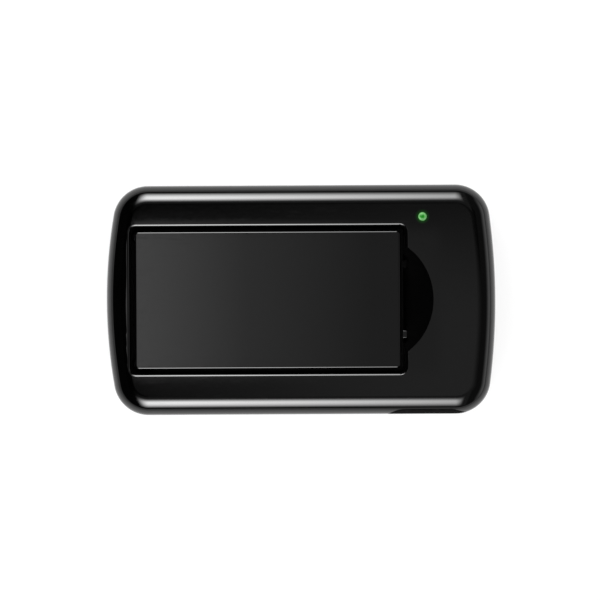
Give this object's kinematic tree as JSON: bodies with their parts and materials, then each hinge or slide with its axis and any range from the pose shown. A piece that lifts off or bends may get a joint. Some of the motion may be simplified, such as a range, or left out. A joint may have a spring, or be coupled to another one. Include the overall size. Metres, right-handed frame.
{
  "type": "microchip scanner",
  "caption": "Hand-held reader for animal microchips: a flat black rounded case with a hinged battery hatch, finger notch, green status light and a scan button in its long edge.",
  "frame": {"origin": "under the middle of the case, on the plane of its flat display side", "axes": "+Z out of the battery hatch side, +X along the case from the hatch hinge to the finger notch and status light, +Y across the case, away from the scan button"},
  "size_m": [0.15, 0.0884, 0.0304],
  "materials": {
    "case": "glossy black moulded ABS, fine even surface",
    "hatch": "highly polished black moulded ABS",
    "button": "matte black silicone rubber",
    "foam": "dark grey closed-cell foam",
    "steel": "zinc-plated steel",
    "cell": "plain printed metallic sleeve over the can",
    "contact": "nickel-plated spring steel",
    "chip": "matte moulded epoxy",
    "nylon": "natural white nylon",
    "lamp": "clear green epoxy, lit",
    "board": "green solder mask",
    "sleeve": "dark blue shrink sleeve",
    "wire_red": "red PVC insulation",
    "wire_black": "black PVC insulation",
    "copper": "enamelled copper wire",
    "window": "smoked clear acrylic",
    "lcd": "blank grey-green liquid crystal glass"
  },
  "bodies": {
    "root": {"rear_housing": "case", "front_housing": "case", "hinge_pin": "steel", "battery_cell_1": "cell", "battery_cell_2": "cell", "battery_cell_3": "cell", "battery_cell_4": "cell", "battery_cell_5": "cell", "battery_cell_6": "cell", "contact_bridge_1": "contact", "contact_bridge_2": "contact", "contact_bridge_3": "contact", "contact_bridge_4": "contact", "contact_bridge_5": "contact", "contact_negative_end": "contact", "contact_positive_end": "contact", "switch_body": "chip", "status_led": "lamp", "led_spacer": "nylon", "led_lead_anode": "contact", "led_lead_cathode": "contact", "main_pcb": "board", "microcontroller": "chip", "reader_chip": "chip", "crystal": "steel", "storage_capacitor": "sleeve", "piezo_buzzer": "chip", "antenna_connector": "nylon", "antenna_lead_1": "wire_red", "antenna_lead_2": "wire_black", "antenna_former": "nylon", "antenna_winding": "copper", "display_window": "window", "window_gasket": "button", "lcd_panel": "lcd", "lcd_backlight": "nylon", "lcd_connector_strip": "button", "housing_screw_1": "steel", "housing_screw_2": "steel", "housing_screw_3": "steel", "housing_screw_4": "steel", "pcb_screw_1": "steel", "pcb_screw_2": "steel", "pcb_screw_3": "steel", "pcb_screw_4": "steel"},
    "hatch": {"battery_hatch": "hatch", "hatch_foam_pad": "foam"},
    "scan_button": {"scan_button": "button", "switch_plunger": "nylon"}
  },
  "joints": [
    {"name": "hatch_hinge", "type": "hinge", "parent": "root", "child": "hatch", "pos_m": [-0.0619, 0, 0.0266], "axis": [0, -1, 0], "range_deg": [0, 100]},
    {"name": "scan_button_press", "type": "slide", "parent": "root", "child": "scan_button", "axis": [0, 1, 0], "range_m": [0, 0.0005], "stiffness_N_per_m": 3000}
  ]
}
